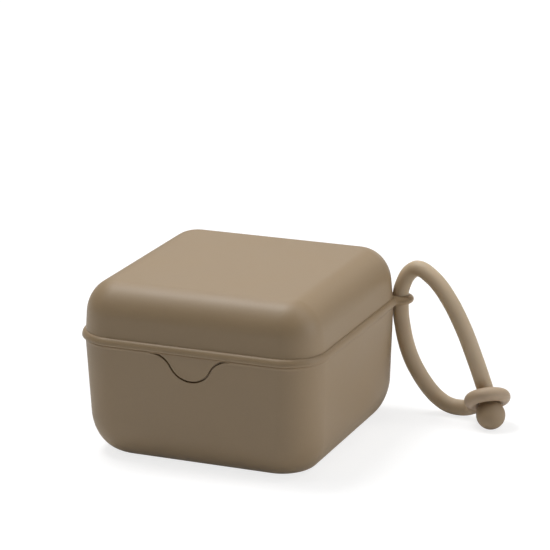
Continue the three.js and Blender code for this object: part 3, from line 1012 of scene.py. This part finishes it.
class PACIFIERBOX_OT_studio(bpy.types.Operator):
    """Add the pale floor, the soft lamps and the white backdrop"""
    bl_idname = "pacifier_box.add_studio"
    bl_label = "Studio"

    def execute(self, context):
        scene = context.scene
        mesh = bmesh.new()
        bmesh.ops.create_grid(mesh, x_segments=1, y_segments=1, size=scene.studio.floor / 2)
        floor = piece_from(mesh, "floor")
        floor.data.materials.append(self.floor_material())
        scene.world = self.backdrop()
        for name, azimuth, elevation, share in LAMPS:
            data = bpy.data.lights.new(name, "AREA")
            data.shape = "DISK"
            data.size = scene.studio.lamp_size
            data.energy = share * scene.studio.power
            lamp = bpy.data.objects.new(name, data)
            across, up = math.radians(azimuth), math.radians(elevation)
            level = math.cos(up)
            way = Vector((level * math.cos(across), level * math.sin(across), math.sin(up)))
            lamp.location = way * scene.studio.lamp_distance
            aim = Vector(LAMP_TARGET) - lamp.location
            lamp.rotation_euler = aim.to_track_quat("-Z", "Y").to_euler()
            scene.collection.objects.link(lamp)
        scene.view_settings.view_transform = "Standard"
        return {"FINISHED"}

    def floor_material(self):
        """Matt white paper; the camera sees it white, a little darker in the object's shadow."""
        finish = Finish(bpy.data.materials.new("studio_floor"))
        seen = finish.node("ShaderNodeLightPath", {}, {}, "Is Camera Ray")
        gloss = finish.node("ShaderNodeLightPath", {}, {}, "Is Glossy Ray")
        paper = finish.node("ShaderNodeBsdfDiffuse", {}, {"Color": grey(PAPER)})
        pale = finish.node("ShaderNodeBsdfDiffuse", {}, {"Color": grey(PAPER_SEEN)})
        matt = finish.node("ShaderNodeMixShader", {}, {0: seen, 1: paper, 2: pale})
        strength = seen * FLOOR_GLOW + gloss * FLOOR_GLOSS
        glow = finish.node("ShaderNodeEmission", {}, {"Color": grey(1.0), "Strength": strength})
        return finish.end(finish.node("ShaderNodeAddShader", {}, {0: matt, 1: glow}))

    def backdrop(self):
        """White behind the object for the camera, and a dimmer white there for gloss and glass."""
        finish = Finish(bpy.data.worlds.new("studio"))
        direction = finish.node("ShaderNodeTexCoord", {}, {}, "Generated")
        depth = finish.node("ShaderNodeSeparateXYZ", {}, {"Vector": direction}, "Y")
        behind = finish.node("ShaderNodeMapRange", {}, {
            "Value": depth, "From Min": 0.0, "From Max": BACKDROP_EDGE})
        camera = finish.node("ShaderNodeLightPath", {}, {}, "Is Camera Ray")
        gloss = finish.node("ShaderNodeLightPath", {}, {}, "Is Glossy Ray")
        through = finish.node("ShaderNodeLightPath", {}, {}, "Is Transmission Ray")
        strength = camera + (gloss + through) * behind * BACKDROP_GLOSS
        white = finish.node("ShaderNodeBackground", {}, {"Color": grey(1.0), "Strength": strength})
        return finish.end(white, "ShaderNodeOutputWorld")


class PACIFIERBOX_PT_panel(bpy.types.Panel):
    """Lists the pieces of the box"""
    bl_idname = "PACIFIERBOX_PT_panel"
    bl_label = "Pacifier Box"
    bl_space_type = "VIEW_3D"
    bl_region_type = "UI"
    bl_category = "Pacifier Box"

    def draw(self, context):
        for operator in OPERATORS:
            self.layout.operator(operator.bl_idname)
        for group in GROUPS:
            settings = getattr(context.scene, group)
            for name in settings.bl_rna.properties.keys():
                if name not in {"rna_type", "name"}:
                    self.layout.prop(settings, name)


GROUPS = {
    "box_sizes": BoxSizes,
    "band_sizes": BandSizes,
    "hinge_sizes": HingeSizes,
    "strap_sizes": StrapSizes,
    "box_finish": BoxFinish,
    "studio": StudioSettings,
}

OPERATORS = (
    PACIFIERBOX_OT_camera,
    PACIFIERBOX_OT_strap,
    PACIFIERBOX_OT_base,
    PACIFIERBOX_OT_eyelet,
    PACIFIERBOX_OT_lid,
    PACIFIERBOX_OT_studio,
)


def register():
    """Registers the groups, the operators and the panel, and hangs the groups on the scene."""
    for item in (*GROUPS.values(), *OPERATORS, PACIFIERBOX_PT_panel):
        bpy.utils.register_class(item)
    for name, group in GROUPS.items():
        setattr(bpy.types.Scene, name, PointerProperty(type=group))


def unregister():
    """Takes away what register added."""
    for name in GROUPS:
        delattr(bpy.types.Scene, name)
    for item in reversed((*GROUPS.values(), *OPERATORS, PACIFIERBOX_PT_panel)):
        bpy.utils.unregister_class(item)


def main():
    """Builds everything."""
    register()
    for thing in list(bpy.data.objects):
        if thing.type in {"LIGHT", "CAMERA"} or thing.name == "Cube":
            bpy.data.objects.remove(thing)
    bpy.ops.pacifier_box.add_camera()
    bpy.ops.pacifier_box.add_strap()
    bpy.ops.pacifier_box.add_base()
    bpy.ops.pacifier_box.add_eyelet()
    bpy.ops.pacifier_box.add_lid()
    bpy.ops.pacifier_box.add_studio()


if __name__ == "__main__":
    main()
